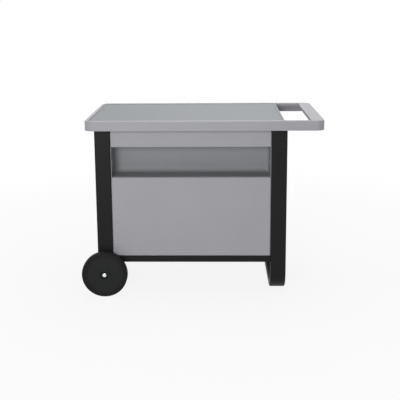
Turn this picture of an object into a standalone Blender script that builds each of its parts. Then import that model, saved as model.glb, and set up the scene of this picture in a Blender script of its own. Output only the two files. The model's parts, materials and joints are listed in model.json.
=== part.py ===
"""A barbecue trolley: a flat tabletop with a handle hoop on two black side frames, with a
sheet steel cabinet between them, a bent sled foot on the right and two wheels on the left.

Metres, +Z up, floor at z = 0. The front faces -Y, the handle is at +X, and the origin is on
the floor in the middle of the trolley's outer box.
"""

import math

import bmesh
import bpy
from mathutils import Matrix, Vector

# Clearances and cutting
GAP = 0.0003
OVERRUN = 0.004

# Tabletop: a folded steel rim with a handle hoop, and a deck let into it
TOP_WIDTH = 1.030
TOP_DEPTH = 0.560
TOP_HEIGHT = 0.796
TOP_WALL = 0.002
TOP_CORNER = 0.035
TOP_EDGE = 0.006
SKIRT_HEIGHT = 0.043
LIP_WIDTH = 0.016
LEDGE_WIDTH = 0.012
CROSSBAR_WIDTH = 0.0065
GRIP_WIDTH = 0.057
HOOP_RAIL = 0.020
HOLE_LENGTH = 0.1125
HOLE_CORNER = 0.008
HOLE_FLANGE = 0.015
DECK_CORNER = 0.019
DECK_RECESS = 0.003
DECK_FOLD = 0.005
DECK_WALL = 0.0015
STIFFENER_WIDTH = 0.050
STIFFENER_HEIGHT = 0.028
STIFFENER_INSET = 0.060

# Side frames: flat steel tube, bent into a sled on the right
FRAME_WIDTH = 0.844
LEFT_OVERHANG = 0.0335
FRONT_OVERHANG = 0.060
LEG_WIDTH = 0.069
LEG_DEPTH = 0.030
LEG_WALL = 0.0015
LEG_EDGE = 0.005
SLED_BEND = 0.095
LEG_BELOW_AXLE = 0.036
PLUG_FLANGE = 0.003
PLUG_BOSS = 0.018

# Cabinet: folded sheets between the side frames
SHEET = 0.0012
SHEET_EDGE = 0.004
FACE_SETBACK = 0.002
SHELF_TOP = 0.1733
SHELF_FOLD = 0.0286
SHELF_EDGE = 0.0015
APRON_HEIGHT = 0.0925
RECESS_HEIGHT = 0.135
RETURN_DEPTH = 0.020
TRAY_DEPTH = 0.110
TRAY_RADIUS = 0.0215
TRAY_RISE = 0.190
REAR_FOLD = 0.015
SIDE_INSET = 0.006

# Wheels and axle
WHEEL_DIAMETER = 0.203
TYRE_WIDTH = 0.038
TYRE_THICKNESS = 0.0155
TYRE_SHOULDER = 0.007
TONGUE_WIDTH = 0.016
TONGUE_DEPTH = 0.004
RIM_THICKNESS = 0.007
RIM_INSET = 0.002
WEB_THICKNESS = 0.006
WEB_INSET = 0.004
HUB_RADIUS = 0.027
HUB_RING = 0.008
HUB_RECESS = 0.010
HUB_STANDOFF = 0.012
AXLE_RADIUS = 0.008
BUSH_WALL = 0.0027
BUSH_FLANGE = 0.0025
BUSH_COLLAR = 0.005
WASHER_THICKNESS = 0.0015
WASHER_RADIUS = 0.016
CAP_WALL = 0.0015
CAP_HEIGHT = 0.0115
CAP_DOME = 0.004

# Fasteners
SCREW_RADIUS = 0.0025
SCREW_HEAD_RADIUS = 0.00475
SCREW_HEAD_HEIGHT = 0.0028
SCREW_GRIP = 0.005
BOLT_RADIUS = 0.003
BOLT_HEAD_RADIUS = 0.0058
BOLT_HEAD_HEIGHT = 0.004
BOLT_GRIP = 0.006
BOLT_INSET = 0.013
PANEL_SCREW_INSET = 0.056
SIDE_SCREW_INSET = 0.070

# Smoothness of round work
TURN_STEPS = 48
AXLE_STEPS = 24
SMALL_STEPS = 12
CORNER_STEPS = 4
BEND_STEPS = 12
EDGE_STEPS = 3
SHARP_ANGLE = 40

# Finishes: colour, roughness, metallic
FINISHES = {
    "grey_paint": ((0.36, 0.36, 0.38), 0.50, 0.0),
    "deck_paint": ((0.24, 0.25, 0.26), 0.55, 0.0),
    "black_paint": ((0.012, 0.012, 0.013), 0.45, 0.0),
    "black_plastic": ((0.015, 0.016, 0.016), 0.50, 0.0),
    "tyre_rubber": ((0.013, 0.013, 0.014), 0.75, 0.0),
    "zinc_steel": ((0.62, 0.62, 0.64), 0.35, 1.0),
    "bright_chrome": ((0.85, 0.85, 0.86), 0.12, 1.0),
    "grey_nylon": ((0.30, 0.30, 0.31), 0.55, 0.0),
}

# Places across the trolley, from the left end of its outer box
WHEEL_RADIUS = WHEEL_DIAMETER / 2
AXLE_FROM_TOP_END = LEFT_OVERHANG + LEG_WIDTH / 2
BOX_LEFT = min(0.0, AXLE_FROM_TOP_END - WHEEL_RADIUS)
TOP_LEFT = -(BOX_LEFT + TOP_WIDTH) / 2
TOP_RIGHT = TOP_LEFT + TOP_WIDTH
FRAME_LEFT = TOP_LEFT + LEFT_OVERHANG
FRAME_RIGHT = FRAME_LEFT + FRAME_WIDTH
INNER_LEFT = FRAME_LEFT + LEG_WIDTH
INNER_RIGHT = FRAME_RIGHT - LEG_WIDTH
AXLE_X = FRAME_LEFT + LEG_WIDTH / 2

# Places from front to back
TOP_FRONT = -TOP_DEPTH / 2
LEG_FRONT = TOP_FRONT + FRONT_OVERHANG
LEG_REAR = -LEG_FRONT
LEG_Y = LEG_FRONT + LEG_DEPTH / 2
FACE_Y = LEG_FRONT + FACE_SETBACK

# Heights
AXLE_Z = WHEEL_RADIUS
DECK_TOP = TOP_HEIGHT - DECK_RECESS
DECK_UNDERSIDE = DECK_TOP - DECK_WALL
LEDGE_TOP = DECK_TOP - DECK_FOLD - GAP
LEDGE_BOTTOM = LEDGE_TOP - TOP_WALL
SKIRT_BOTTOM = TOP_HEIGHT - SKIRT_HEIGHT
STIFFENER_TOP = DECK_UNDERSIDE - GAP
STIFFENER_BOTTOM = STIFFENER_TOP - STIFFENER_HEIGHT
FRAME_TOP = STIFFENER_BOTTOM - GAP
RAIL_BOTTOM = FRAME_TOP - LEG_DEPTH
APRON_BOTTOM = FRAME_TOP - APRON_HEIGHT
PANEL_TOP = APRON_BOTTOM - RECESS_HEIGHT
PANEL_BOTTOM = SHELF_TOP + GAP
SHELF_BOTTOM = SHELF_TOP - SHELF_FOLD
LEG_BOTTOM = AXLE_Z - LEG_BELOW_AXLE

# Deck window and handle hole
DECK_LEFT = TOP_LEFT + LIP_WIDTH
HOLE_RIGHT = TOP_RIGHT - GRIP_WIDTH
HOLE_LEFT = HOLE_RIGHT - HOLE_LENGTH
DECK_RIGHT = HOLE_LEFT - CROSSBAR_WIDTH
DECK_HALF = TOP_DEPTH / 2 - LIP_WIDTH
HOLE_HALF = TOP_DEPTH / 2 - HOOP_RAIL

# The stiffeners' distance from the middle, set in from the legs
STIFFENER_Y = LEG_REAR - LEG_DEPTH - STIFFENER_INSET

# The cabinet's inside, between its side panels
CABINET_LEFT = INNER_LEFT + 2 * GAP + SHEET
CABINET_RIGHT = INNER_RIGHT - 2 * GAP - SHEET

# Turning the drawing plane of an outline so that it is extruded along an axis
ALONG = {
    "x": Matrix.Rotation(math.pi / 2, 4, "Z") @ Matrix.Rotation(math.pi / 2, 4, "X"),
    "y": Matrix.Rotation(math.pi / 2, 4, "X"),
    "z": Matrix.Identity(4),
}
# Turning an upright turned piece so that its top points along an axis
POINTING = {
    "+x": Matrix.Rotation(math.pi / 2, 4, "Y"),
    "-x": Matrix.Rotation(-math.pi / 2, 4, "Y"),
    "+y": Matrix.Rotation(-math.pi / 2, 4, "X"),
    "-y": Matrix.Rotation(math.pi / 2, 4, "X"),
    "+z": Matrix.Identity(4),
    "-z": Matrix.Rotation(math.pi, 4, "X"),
}


def empty_scene():
    for thing in list(bpy.data.objects):
        bpy.data.objects.remove(thing, do_unlink=True)


def new_collection(name):
    collection = bpy.data.collections.new(name)
    bpy.context.scene.collection.children.link(collection)
    return collection


def finish_material(name, finish):
    colour, roughness, metallic = FINISHES[finish]
    material = bpy.data.materials.new(f"{name}_{finish}")
    material.use_nodes = True
    shader = material.node_tree.nodes["Principled BSDF"]
    shader.inputs["Base Color"].default_value = (*colour, 1.0)
    shader.inputs["Roughness"].default_value = roughness
    shader.inputs["Metallic"].default_value = metallic
    return material


def place(name, mesh, finish=None, matrix=None):
    """Puts a mesh in the scene: a finished part, or a cutter where no finish is named."""
    thing = bpy.data.objects.new(name, mesh)
    thing.matrix_world = matrix or Matrix.Identity(4)
    if finish:
        mesh.materials.clear()
        mesh.materials.append(finish_material(name, finish))
        parts.objects.link(thing)
    else:
        thing.hide_render = True
        thing.display_type = "WIRE"
        cutters.objects.link(thing)
    return thing


def rounded_rectangle(low, high, radius):
    """The points of a rectangle with round corners, anticlockwise."""
    centres = (
        (high[0] - radius, high[1] - radius, 0),
        (low[0] + radius, high[1] - radius, 1),
        (low[0] + radius, low[1] + radius, 2),
        (high[0] - radius, low[1] + radius, 3),
    )
    points = []
    for x, y, quarter in centres:
        for step in range(CORNER_STEPS + 1):
            angle = (quarter + step / CORNER_STEPS) * math.pi / 2
            points.append((x + radius * math.cos(angle), y + radius * math.sin(angle)))
    return points


def prism(name, outlines, axis, start, end, finish=None):
    """Flat outlines, each inside one cutting a hole, made solid from start to end on an axis."""
    curve = bpy.data.curves.new(name, "CURVE")
    curve.dimensions = "2D"
    curve.fill_mode = "BOTH"
    curve.extrude = (end - start) / 2
    for outline in outlines:
        spline = curve.splines.new("POLY")
        spline.points.add(len(outline) - 1)
        for point, (u, v) in zip(spline.points, outline):
            point.co = (u, v, 0, 1)
        spline.use_cyclic_u = True
    guide = bpy.data.objects.new(name, curve)
    cutters.objects.link(guide)
    middle = (start + end) / 2 * (-1 if axis == "y" else 1)
    guide.matrix_world = ALONG[axis] @ Matrix.Translation((0, 0, middle))
    bpy.context.view_layer.update()
    evaluated = guide.evaluated_get(bpy.context.evaluated_depsgraph_get())
    mesh = bpy.data.meshes.new_from_object(evaluated)
    mesh.transform(guide.matrix_world)
    bpy.data.objects.remove(guide, do_unlink=True)
    work = bmesh.new()
    work.from_mesh(mesh)
    bmesh.ops.remove_doubles(work, verts=work.verts, dist=GAP / 10)
    bmesh.ops.recalc_face_normals(work, faces=work.faces)
    work.to_mesh(mesh)
    work.free()
    return place(name, mesh, finish)


def box_mesh(low, high, open_sides=()):
    """A box between two corners; a side named by its outward direction is left open."""
    low, high = Vector(low), Vector(high)
    work = bmesh.new()
    bmesh.ops.create_cube(work, size=1.0)
    bmesh.ops.scale(work, vec=high - low, verts=work.verts)
    bmesh.ops.translate(work, vec=(low + high) / 2, verts=work.verts)
    work.normal_update()
    left_off = [f for f in work.faces if f.normal.to_tuple(0) in open_sides]
    bmesh.ops.delete(work, geom=left_off, context="FACES")
    return finished(work, "box")


def bevel(thing, width, steps=EDGE_STEPS):
    modifier = thing.modifiers.new("round_edges", "BEVEL")
    modifier.width = width
    modifier.segments = steps
    modifier.limit_method = "ANGLE"
    modifier.angle_limit = math.radians(SHARP_ANGLE)
    return modifier


def bevel_rim(thing, height, width):
    """Rounds only the edges that lie at one height."""
    mesh = thing.data
    weights = mesh.attributes.new("bevel_weight_edge", "FLOAT", "EDGE")
    for edge in mesh.edges:
        ends = [mesh.vertices[v].co.z for v in edge.vertices]
        weights.data[edge.index].value = float(max(abs(z - height) for z in ends) < GAP)
    bevel(thing, width).limit_method = "WEIGHT"


def combine(thing, other, operation):
    modifier = thing.modifiers.new(f"{operation.lower()}_{other.name}", "BOOLEAN")
    modifier.operation = operation
    modifier.object = other
    modifier.solver = "EXACT"


def folded_sheet(name, low, high, open_sides, wall, edge, finish):
    """Sheet metal folded into a pan, open on the named sides, its wall measured inwards."""
    pan = place(name, box_mesh(low, high, open_sides), finish)
    if edge:
        bevel(pan, edge)
    skin = pan.modifiers.new("sheet", "SOLIDIFY")
    skin.thickness = wall
    skin.offset = -1
    skin.use_even_offset = True
    return pan


def turned(name, profile, matrix, finish, steps=TURN_STEPS, closed=True):
    """A profile of (radius, height) points turned round the upright axis, then placed."""
    mesh = bpy.data.meshes.new(name)
    ends = len(profile) if closed else len(profile) - 1
    edges = [(i, (i + 1) % len(profile)) for i in range(ends)]
    mesh.from_pydata([(radius, 0, height) for radius, height in profile], edges, [])
    thing = place(name, mesh, finish, matrix)
    screw = thing.modifiers.new("turn", "SCREW")
    screw.steps = steps
    screw.render_steps = steps
    screw.use_merge_vertices = True
    screw.merge_threshold = GAP / 10
    return thing


def arc(centre, radius, start, end, steps):
    """Points along an arc, its angles in quarter turns, both ends included."""
    points = []
    for step in range(steps + 1):
        angle = (start + (end - start) * step / steps) * math.pi / 2
        points.append(
            (centre[0] + radius * math.cos(angle), centre[1] + radius * math.sin(angle))
        )
    return points


def rod(work, radius, low, high, steps, matrix=Matrix.Identity(4)):
    """A solid rod, from low to high along the upright axis of its matrix."""
    return bmesh.ops.create_cone(
        work,
        cap_ends=True,
        segments=steps,
        radius1=radius,
        radius2=radius,
        depth=high - low,
        matrix=matrix @ Matrix.Translation((0, 0, (low + high) / 2)),
    )


def finished(work, name):
    mesh = bpy.data.meshes.new(name)
    work.to_mesh(mesh)
    work.free()
    return mesh


def drill(matrix, radius, depth, things, steps=SMALL_STEPS):
    """Marks out a round hole, down to a depth below its matrix, in each thing that is named."""
    for thing in things:
        holes.setdefault(thing, []).append((radius, -depth, OVERRUN, steps, matrix))


def cut_holes():
    for thing, bores in holes.items():
        work = bmesh.new()
        for bore in bores:
            rod(work, *bore)
        cutter = place(f"{thing.name}_holes", finished(work, "holes"))
        combine(thing, cutter, "DIFFERENCE")


def button_screw(name, matrix, grip, things):
    """A round-headed screw seated on a face, and its hole in what it holds."""
    dome = [
        (x * SCREW_HEAD_RADIUS, GAP + y * SCREW_HEAD_HEIGHT)
        for x, y in arc((0, 0), 1, 1, 0, EDGE_STEPS)
    ]
    stem = [(SCREW_RADIUS, GAP), (SCREW_RADIUS, -grip), (0, -grip)]
    profile = [(0, dome[0][1])] + dome[1:] + stem
    turned(name, profile, matrix, "zinc_steel", SMALL_STEPS, closed=False)
    drill(matrix, SCREW_RADIUS + GAP, grip + GAP, things)


def hex_bolt(name, matrix, grip, things):
    """A hexagon bolt seated on a face, and its hole in what it holds."""
    head = bmesh.new()
    rod(head, BOLT_HEAD_RADIUS, GAP, GAP + BOLT_HEAD_HEIGHT, 6)
    bolt = place(name, finished(head, name), "zinc_steel", matrix)
    stem = bmesh.new()
    rod(stem, BOLT_RADIUS, -grip, GAP + BOLT_HEAD_HEIGHT / 2, SMALL_STEPS)
    combine(bolt, place(f"{name}_stem", finished(stem, "stem"), None, matrix), "UNION")
    drill(matrix, BOLT_RADIUS + GAP, grip + GAP, things)


def facing(centre, direction):
    return Matrix.Translation(centre) @ POINTING[direction]


def make_top_frame():
    """The rim: outer skirt, lip round the deck, ledge under it, and the handle hoop."""
    half = TOP_DEPTH / 2
    below, above = SKIRT_BOTTOM - OVERRUN, TOP_HEIGHT + OVERRUN

    def block(name, left, right, half_depth, corner, start, end, finish=None):
        outline = rounded_rectangle((left, -half_depth), (right, half_depth), corner)
        return prism(name, [outline], "z", start, end, finish)

    frame = block(
        "top_frame", TOP_LEFT, TOP_RIGHT, half, TOP_CORNER, SKIRT_BOTTOM, TOP_HEIGHT, "grey_paint"
    )
    bevel_rim(frame, TOP_HEIGHT, TOP_EDGE)
    roof = TOP_HEIGHT - TOP_WALL
    cavity = block(
        "top_frame_inside",
        TOP_LEFT + TOP_WALL,
        TOP_RIGHT - TOP_WALL,
        half - TOP_WALL,
        TOP_CORNER - TOP_WALL,
        below,
        roof,
    )
    bevel_rim(cavity, roof, TOP_EDGE - TOP_WALL)
    well = block(
        "top_frame_well",
        DECK_LEFT - TOP_WALL,
        DECK_RIGHT + TOP_WALL,
        DECK_HALF + TOP_WALL,
        DECK_CORNER + TOP_WALL,
        LEDGE_BOTTOM,
        above,
    )
    hoop_wall = block(
        "top_frame_hole_flange",
        HOLE_LEFT - TOP_WALL,
        HOLE_RIGHT + TOP_WALL,
        HOLE_HALF + TOP_WALL,
        HOLE_CORNER + TOP_WALL,
        TOP_HEIGHT - HOLE_FLANGE,
        above,
    )
    combine(cavity, well, "DIFFERENCE")
    combine(cavity, hoop_wall, "DIFFERENCE")
    pocket = block(
        "top_frame_pocket", DECK_LEFT, DECK_RIGHT, DECK_HALF, DECK_CORNER, LEDGE_TOP, above
    )
    window = block(
        "top_frame_window",
        DECK_LEFT + LEDGE_WIDTH,
        DECK_RIGHT - LEDGE_WIDTH,
        DECK_HALF - LEDGE_WIDTH,
        DECK_CORNER - LEDGE_WIDTH,
        below,
        above,
    )
    hole = block("top_frame_hole", HOLE_LEFT, HOLE_RIGHT, HOLE_HALF, HOLE_CORNER, below, above)
    for cutter in (cavity, pocket, window, hole):
        combine(frame, cutter, "DIFFERENCE")


def make_deck():
    """The deck panel with its folded edge, and the two box stiffeners under it."""
    outline = rounded_rectangle(
        (DECK_LEFT + GAP, -DECK_HALF + GAP),
        (DECK_RIGHT - GAP, DECK_HALF - GAP),
        DECK_CORNER - GAP,
    )
    bottom = DECK_TOP - DECK_FOLD
    deck = prism("deck_panel", [outline], "z", bottom, DECK_TOP, "deck_paint")
    inside = rounded_rectangle(
        (DECK_LEFT + GAP + DECK_WALL, -DECK_HALF + GAP + DECK_WALL),
        (DECK_RIGHT - GAP - DECK_WALL, DECK_HALF - GAP - DECK_WALL),
        DECK_CORNER - GAP - DECK_WALL,
    )
    hollow = prism("deck_panel_inside", [inside], "z", bottom - OVERRUN, DECK_UNDERSIDE)
    combine(deck, hollow, "DIFFERENCE")
    left = DECK_LEFT + LEDGE_WIDTH + GAP
    right = DECK_RIGHT - LEDGE_WIDTH - GAP
    for name, side in (("front", -1), ("rear", 1)):
        y = side * STIFFENER_Y
        stiffeners[side] = square_tube(
            f"deck_stiffener_{name}",
            (y - STIFFENER_WIDTH / 2, STIFFENER_BOTTOM),
            (y + STIFFENER_WIDTH / 2, STIFFENER_TOP),
            "x",
            left,
            right,
        )


def square_tube(name, low, high, axis, start, end):
    """A straight length of flat steel tube with open ends."""
    outer = rounded_rectangle(low, high, LEG_EDGE)
    inner = rounded_rectangle(
        (low[0] + LEG_WALL, low[1] + LEG_WALL),
        (high[0] - LEG_WALL, high[1] - LEG_WALL),
        LEG_EDGE - LEG_WALL,
    )
    return prism(name, [outer, inner], axis, start, end, "black_paint")


def sled_outline(inset, top):
    """The sled's side view, drawn in from its outer faces by an inset: down, along and up."""
    front, rear = LEG_FRONT + inset, LEG_REAR - inset
    outer, inner = SLED_BEND - inset, SLED_BEND - LEG_DEPTH + inset
    thick = LEG_DEPTH - 2 * inset
    centre_front = (LEG_FRONT + SLED_BEND, SLED_BEND)
    centre_rear = (LEG_REAR - SLED_BEND, SLED_BEND)
    return (
        [(front, top)]
        + arc(centre_front, outer, 2, 3, BEND_STEPS)
        + arc(centre_rear, outer, 3, 4, BEND_STEPS)
        + [(rear, top), (rear - thick, top)]
        + arc(centre_rear, inner, 4, 3, BEND_STEPS)
        + arc(centre_front, inner, 3, 2, BEND_STEPS)
        + [(front + thick, top)]
    )


def make_side_frames():
    """The bent sled on the right, two straight legs on the left, and the rails at the top."""
    sled = prism(
        "right_sled", [sled_outline(0, FRAME_TOP)], "x", INNER_RIGHT, FRAME_RIGHT, "black_paint"
    )
    bevel(sled, LEG_EDGE)
    bore = prism(
        "right_sled_inside",
        [sled_outline(LEG_WALL, FRAME_TOP + OVERRUN)],
        "x",
        INNER_RIGHT + LEG_WALL,
        FRAME_RIGHT - LEG_WALL,
    )
    combine(sled, bore, "DIFFERENCE")
    legs["right", -1] = legs["right", 1] = sled
    for name, side in (("front", -1), ("rear", 1)):
        y = -side * LEG_Y
        leg = square_tube(
            f"left_{name}_leg",
            (FRAME_LEFT, y - LEG_DEPTH / 2),
            (INNER_LEFT, y + LEG_DEPTH / 2),
            "z",
            LEG_BOTTOM,
            FRAME_TOP,
        )
        legs["left", side] = leg
        make_plug(f"left_{name}_leg_plug", FRAME_LEFT, y, LEG_BOTTOM, -1)
        make_plug(f"right_sled_plug_{name}", INNER_RIGHT, y, FRAME_TOP, 1)
    clear = -LEG_Y - LEG_DEPTH / 2 - GAP
    for name, left in (("left", FRAME_LEFT), ("right", INNER_RIGHT)):
        rails[name] = square_tube(
            f"{name}_top_rail",
            (left, RAIL_BOTTOM),
            (left + LEG_WIDTH, FRAME_TOP),
            "y",
            -clear,
            clear,
        )
    square_tube(
        "rear_top_rail",
        (LEG_REAR - LEG_DEPTH, RAIL_BOTTOM),
        (LEG_REAR, FRAME_TOP),
        "x",
        INNER_LEFT + GAP,
        INNER_RIGHT - GAP,
    )


def make_plug(name, left, y, end, way):
    """A moulded plug: a flange over a tube's open end and a boss pressed inside it."""
    low = (left, y - LEG_DEPTH / 2)
    high = (left + LEG_WIDTH, y + LEG_DEPTH / 2)
    inner, middle, outer = (end + way * h for h in (GAP, GAP + PLUG_FLANGE / 2, GAP + PLUG_FLANGE))
    flange = rounded_rectangle(low, high, LEG_EDGE)
    plug = prism(name, [flange], "z", min(inner, outer), max(inner, outer), "black_plastic")
    inset = LEG_WALL + GAP
    boss = rounded_rectangle(
        (low[0] + inset, low[1] + inset), (high[0] - inset, high[1] - inset), LEG_EDGE - inset
    )
    tip = end - way * PLUG_BOSS
    core = prism(f"{name}_boss", [boss], "z", min(tip, middle), max(tip, middle))
    combine(plug, core, "UNION")


def make_cabinet():
    """Shelf, front panel, apron, open tray and side panels, each folded from sheet."""
    rear = -FACE_Y
    cabinet["shelf"] = folded_sheet(
        "bottom_shelf",
        (INNER_LEFT + GAP, FACE_Y, SHELF_BOTTOM),
        (INNER_RIGHT - GAP, rear, SHELF_TOP),
        [(0, 0, -1)],
        SHEET,
        SHELF_EDGE,
        "black_paint",
    )
    cabinet["panel"] = folded_sheet(
        "front_panel",
        (CABINET_LEFT, FACE_Y, PANEL_BOTTOM),
        (CABINET_RIGHT, FACE_Y + RETURN_DEPTH, PANEL_TOP),
        [(0, 1, 0)],
        SHEET,
        SHEET_EDGE,
        "grey_paint",
    )
    cabinet["apron"] = folded_sheet(
        "apron_panel",
        (CABINET_LEFT, FACE_Y, APRON_BOTTOM),
        (CABINET_RIGHT, FACE_Y + RETURN_DEPTH, FRAME_TOP),
        [(0, 1, 0)],
        SHEET,
        SHEET_EDGE,
        "grey_paint",
    )
    tray_front = FACE_Y + SHEET_EDGE
    tray_bottom = PANEL_TOP + GAP
    behind_apron = FACE_Y + RETURN_DEPTH + GAP
    tray = folded_sheet(
        "tool_tray",
        (CABINET_LEFT, tray_front, tray_bottom),
        (CABINET_RIGHT, tray_front + TRAY_DEPTH, tray_bottom + TRAY_RISE),
        [(0, -1, 0), (0, 0, 1)],
        SHEET,
        TRAY_RADIUS,
        "deck_paint",
    )
    notch = box_mesh(
        (CABINET_LEFT - OVERRUN, tray_front - OVERRUN, APRON_BOTTOM - GAP),
        (CABINET_RIGHT + OVERRUN, behind_apron, tray_bottom + TRAY_RISE + OVERRUN),
    )
    combine(tray, place("tool_tray_notch", notch), "DIFFERENCE")
    cabinet["tray"] = tray
    for name, start, sign in (("left", INNER_LEFT, 1), ("right", INNER_RIGHT, -1)):
        near = start + sign * GAP
        far = start + sign * (GAP + REAR_FOLD)
        cabinet[name] = folded_sheet(
            f"{name}_side_panel",
            (min(near, far), FACE_Y + SIDE_INSET, PANEL_BOTTOM),
            (max(near, far), rear, RAIL_BOTTOM - GAP),
            [(sign, 0, 0), (0, -1, 0), (0, 0, 1), (0, 0, -1)],
            SHEET,
            SHEET_EDGE,
            "grey_paint",
        )


def make_fasteners():
    """Screws through the folded returns into the legs, and bolts for the shelf and the top."""
    front_y = FACE_Y + RETURN_DEPTH - 2 * SCREW_HEAD_RADIUS
    rear_y = LEG_REAR - LEG_DEPTH / 2
    heights = {
        "panel_screw_low": (front_y, PANEL_BOTTOM + PANEL_SCREW_INSET, "panel"),
        "panel_screw_high": (front_y, PANEL_TOP - PANEL_SCREW_INSET, "panel"),
        "apron_screw": (front_y, APRON_BOTTOM + APRON_HEIGHT / 2, "apron"),
        "tray_screw": (front_y, PANEL_TOP + RECESS_HEIGHT / 2, "tray"),
        "side_screw_low": (rear_y, PANEL_BOTTOM + SIDE_SCREW_INSET, None),
        "side_screw_high": (rear_y, RAIL_BOTTOM - SIDE_SCREW_INSET, None),
    }
    for side, pointing, start in (("left", "+x", INNER_LEFT), ("right", "-x", INNER_RIGHT)):
        sign = 1 if side == "left" else -1
        for name, (y, z, sheet) in heights.items():
            end = -1 if y < 0 else 1
            held = [legs[side, end], cabinet[side]] + ([cabinet[sheet]] if sheet else [])
            layers = 2 if sheet else 1
            seat = start + sign * layers * (SHEET + GAP)
            grip = layers * (SHEET + GAP) + SCREW_GRIP
            button_screw(f"{name}_{side}", facing((seat, y, z), pointing), grip, held)
        for name, end in (("front", -1), ("rear", 1)):
            y = end * (LEG_REAR - LEG_DEPTH / 2)
            z = (SHELF_TOP + SHELF_BOTTOM) / 2
            seat = start + sign * (SHEET + GAP)
            held = [legs[side, end], cabinet["shelf"]]
            at = facing((seat, y, z), pointing)
            hex_bolt(f"shelf_bolt_{name}_{side}", at, BOLT_GRIP, held)
            x = start - sign * BOLT_INSET
            y = end * STIFFENER_Y
            grip = LEG_DEPTH + GAP + BOLT_GRIP
            held = [rails[side], stiffeners[end]]
            at = facing((x, y, RAIL_BOTTOM), "-z")
            hex_bolt(f"top_bolt_{name}_{side}", at, grip, held)


def make_running_gear():
    """The axle across the left legs, with a bush, washer, wheel, tyre and cap at each end."""
    half = TYRE_WIDTH / 2
    hub_end = half + HUB_STANDOFF
    stack = hub_end + WASHER_THICKNESS + BUSH_FLANGE + 3 * GAP
    middle = LEG_FRONT - stack
    recess_floor = half - RIM_INSET + GAP - HUB_RECESS
    axle_end = recess_floor + CAP_HEIGHT - CAP_WALL - GAP
    make_axle(-middle + axle_end)
    bush_radius = AXLE_RADIUS + GAP + BUSH_WALL
    for name, side, pointing in (("front", -1, "-y"), ("rear", 1, "+y")):
        at_leg = facing((AXLE_X, -side * LEG_FRONT, AXLE_Z), pointing)
        make_bush(f"{name}_axle_bush", at_leg, bush_radius)
        leg = [legs["left", side]]
        drill(at_leg, bush_radius + GAP, LEG_DEPTH + OVERRUN, leg, AXLE_STEPS)
        at_wheel = facing((AXLE_X, -side * middle, AXLE_Z), pointing)
        turned(f"{name}_tyre", tyre_profile(half), at_wheel, "tyre_rubber")
        disc = disc_profile(half, hub_end, recess_floor)
        turned(f"{name}_wheel_disc", disc, at_wheel, "black_plastic")
        washer_top = -hub_end - GAP
        washer = [
            (WASHER_RADIUS, washer_top),
            (WASHER_RADIUS, washer_top - WASHER_THICKNESS),
            (AXLE_RADIUS + GAP, washer_top - WASHER_THICKNESS),
            (AXLE_RADIUS + GAP, washer_top),
        ]
        turned(f"{name}_wheel_washer", washer, at_wheel, "zinc_steel", AXLE_STEPS)
        cap = cap_profile(recess_floor + GAP)
        turned(f"{name}_axle_cap", cap, at_wheel, "bright_chrome", AXLE_STEPS, False)


def make_axle(half_length):
    work = bmesh.new()
    rod(work, AXLE_RADIUS, -half_length, half_length, AXLE_STEPS)
    axle = place("axle", finished(work, "axle"), "zinc_steel", facing((AXLE_X, 0, AXLE_Z), "+y"))
    axle.data.shade_smooth()
    axle.data.set_sharp_from_angle(angle=math.radians(SHARP_ANGLE))


def make_bush(name, matrix, barrel):
    """A flanged nylon bush: its flange outside the leg, its barrel through both tube walls."""
    bore = AXLE_RADIUS + GAP
    profile = [
        (barrel + BUSH_COLLAR, GAP + BUSH_FLANGE),
        (barrel + BUSH_COLLAR, GAP),
        (barrel, GAP),
        (barrel, -LEG_DEPTH),
        (bore, -LEG_DEPTH),
        (bore, GAP + BUSH_FLANGE),
    ]
    turned(name, profile, matrix, "grey_nylon", AXLE_STEPS)


def tyre_profile(half):
    """A solid tyre: flat tread, round shoulders, and a tongue that locks in the rim's groove."""
    seat = WHEEL_RADIUS - TYRE_THICKNESS + GAP
    tongue = TONGUE_WIDTH / 2 - GAP
    centre = WHEEL_RADIUS - TYRE_SHOULDER
    return (
        arc((centre, half - TYRE_SHOULDER), TYRE_SHOULDER, 1, 0, CORNER_STEPS)
        + arc((centre, TYRE_SHOULDER - half), TYRE_SHOULDER, 0, -1, CORNER_STEPS)
        + [
            (seat, -half),
            (seat, -tongue),
            (seat - TONGUE_DEPTH, -tongue),
            (seat - TONGUE_DEPTH, tongue),
            (seat, tongue),
            (seat, half),
        ]
    )


def disc_profile(half, hub_end, recess_floor):
    """A moulded wheel: grooved rim, flat web near its outer face, and a hub with a recess."""
    rim = WHEEL_RADIUS - TYRE_THICKNESS
    rim_edge = half - RIM_INSET
    groove = TONGUE_WIDTH / 2
    web = rim_edge - WEB_INSET / 2
    recess = HUB_RADIUS - HUB_RING
    bore = AXLE_RADIUS + GAP
    return [
        (rim, rim_edge),
        (rim, groove),
        (rim - TONGUE_DEPTH, groove),
        (rim - TONGUE_DEPTH, -groove),
        (rim, -groove),
        (rim, -rim_edge),
        (rim - RIM_THICKNESS, -rim_edge),
        (rim - RIM_THICKNESS, web - WEB_THICKNESS),
        (HUB_RADIUS, web - WEB_THICKNESS),
        (HUB_RADIUS, -hub_end),
        (bore, -hub_end),
        (bore, recess_floor),
        (recess, recess_floor),
        (recess, rim_edge),
        (HUB_RADIUS - RIM_INSET, rim_edge),
        (HUB_RADIUS, web),
        (rim - RIM_THICKNESS, web),
        (rim - RIM_THICKNESS + RIM_INSET, rim_edge),
    ]


def cap_profile(base):
    """A domed push-on cap over the axle's end."""
    bore = AXLE_RADIUS + GAP
    radius = bore + CAP_WALL
    shoulder = base + CAP_HEIGHT - CAP_DOME
    dome = [
        (radius * math.cos(a), shoulder + CAP_DOME * math.sin(a))
        for a in (math.pi / 2 * (1 - step / CORNER_STEPS) for step in range(CORNER_STEPS + 1))
    ]
    dome[0] = (0, shoulder + CAP_DOME)
    roof = base + CAP_HEIGHT - CAP_WALL
    return dome + [(radius, base), (bore, base), (bore, roof), (0, roof)]


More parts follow.
